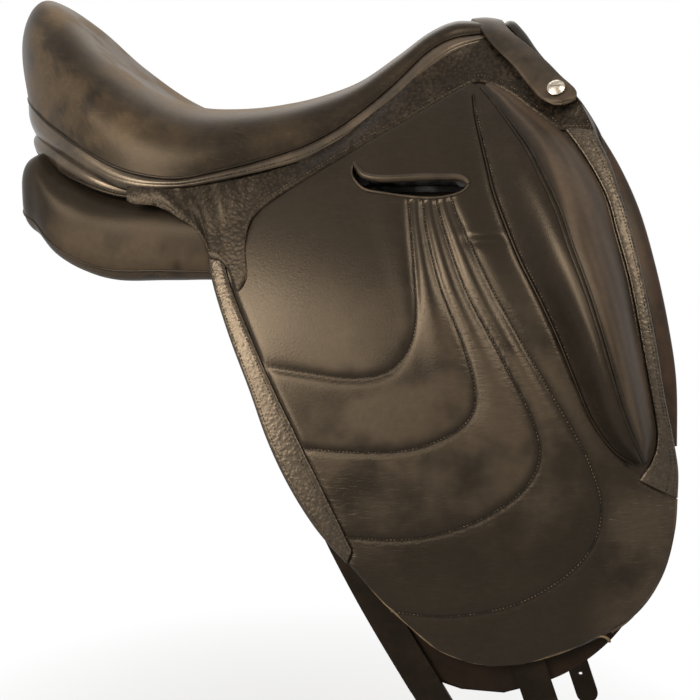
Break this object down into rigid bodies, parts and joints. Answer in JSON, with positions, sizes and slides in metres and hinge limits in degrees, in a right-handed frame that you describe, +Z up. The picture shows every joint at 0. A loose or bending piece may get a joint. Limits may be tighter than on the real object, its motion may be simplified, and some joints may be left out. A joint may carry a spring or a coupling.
{
  "type": "dressage saddle",
  "caption": "Dressage saddle with deep seat, long quilted flaps that lift, external thigh blocks, stuffed panels, stirrup bars with catches and long girth straps that swing.",
  "frame": {"origin": "on the centre plane, below the deepest part of the seat, at the height where the horse's back carries the panels", "axes": "+X towards the horse's head, +Y to the near (left) side, +Z up"},
  "size_m": [0.653, 0.4658, 0.8412],
  "materials": {
    "smooth_leather": "smooth, worn sheen",
    "pebbled_leather": "pebbled grain",
    "panel_leather": "soft smooth",
    "strap_leather": "plain strap leather",
    "laminated_beech": "lacquered laminate",
    "bar_steel": "forged, brushed",
    "nickel": "polished nickel, lightly worn",
    "webbing": "woven",
    "foam": "latex foam"
  },
  "bodies": {
    "saddle": {"tree_head": "laminated_beech", "tree_cantle": "laminated_beech", "tree_rail_right": "laminated_beech", "tree_rail_left": "laminated_beech", "tree_side_right": "laminated_beech", "tree_side_left": "laminated_beech", "head_plate": "bar_steel", "head_plate_rivets": "bar_steel", "tree_spring_right": "bar_steel", "tree_spring_left": "bar_steel", "seat_web": "webbing", "seat_foam": "foam", "seat_cover": "smooth_leather", "seat_welt": "strap_leather", "seat_border": "smooth_leather", "skirt_right": "pebbled_leather", "skirt_left": "pebbled_leather", "pommel_strap": "smooth_leather", "pommel_screw_right": "nickel", "pommel_screw_left": "nickel", "upper_flap_right": "smooth_leather", "upper_flap_left": "smooth_leather", "stirrup_bar_right": "bar_steel", "stirrup_bar_left": "bar_steel", "stirrup_bar_rivets_right": "bar_steel", "stirrup_bar_rivets_left": "bar_steel", "panel_right": "panel_leather", "panel_left": "panel_leather", "panel_roll_right": "panel_leather", "panel_roll_left": "panel_leather", "panel_wing_right": "panel_leather", "panel_wing_left": "panel_leather", "sweat_flap_right": "strap_leather", "sweat_flap_left": "strap_leather", "girth_strap_front_right": "strap_leather", "girth_strap_front_left": "strap_leather", "girth_strap_rear_right": "strap_leather", "girth_strap_rear_left": "strap_leather", "block_top_right": "smooth_leather", "block_top_left": "smooth_leather"},
    "flap_right": {"flap_right": "smooth_leather", "flap_quilting_right": "smooth_leather", "rear_band_right": "pebbled_leather", "front_band_right": "pebbled_leather", "thigh_block_right": "smooth_leather"},
    "catch_right": {"stirrup_catch_right": "bar_steel", "catch_pin_right": "bar_steel"},
    "billet_front_right": {"billet_front_right": "strap_leather"},
    "billet_rear_right": {"billet_rear_right": "strap_leather"},
    "flap_left": {"flap_left": "smooth_leather", "flap_quilting_left": "smooth_leather", "rear_band_left": "pebbled_leather", "front_band_left": "pebbled_leather", "thigh_block_left": "smooth_leather"},
    "catch_left": {"stirrup_catch_left": "bar_steel", "catch_pin_left": "bar_steel"},
    "billet_front_left": {"billet_front_left": "strap_leather"},
    "billet_rear_left": {"billet_rear_left": "strap_leather"}
  },
  "joints": [
    {"name": "flap_lift_right", "type": "hinge", "parent": "saddle", "child": "flap_right", "pos_m": [0.133, -0.1462, 0.0265], "axis": [-0.9074, -0.195, -0.3722], "range_deg": [0, 30]},
    {"name": "catch_turn_right", "type": "hinge", "parent": "saddle", "child": "catch_right", "pos_m": [0.089, -0.1013, 0.05], "axis": [0, 1, 0], "range_deg": [0, 45]},
    {"name": "billet_swing_front_right", "type": "hinge", "parent": "saddle", "child": "billet_front_right", "pos_m": [0.257, -0.21438, -0.383], "axis": [-0.9455, 0, -0.3255], "range_deg": [0, 60]},
    {"name": "billet_swing_rear_right", "type": "hinge", "parent": "saddle", "child": "billet_rear_right", "pos_m": [0.16, -0.22369, -0.372], "axis": [-0.8517, 0, -0.5241], "range_deg": [0, 60]},
    {"name": "flap_lift_left", "type": "hinge", "parent": "saddle", "child": "flap_left", "pos_m": [0.133, 0.1462, 0.0265], "axis": [0.9074, -0.195, 0.3722], "range_deg": [0, 30]},
    {"name": "catch_turn_left", "type": "hinge", "parent": "saddle", "child": "catch_left", "pos_m": [0.089, 0.1013, 0.05], "axis": [0, 1, 0], "range_deg": [0, 45]},
    {"name": "billet_swing_front_left", "type": "hinge", "parent": "saddle", "child": "billet_front_left", "pos_m": [0.257, 0.21438, -0.383], "axis": [0.9455, 0, 0.3255], "range_deg": [0, 60]},
    {"name": "billet_swing_rear_left", "type": "hinge", "parent": "saddle", "child": "billet_rear_left", "pos_m": [0.16, 0.22369, -0.372], "axis": [0.8517, 0, 0.5241], "range_deg": [0, 60]}
  ]
}
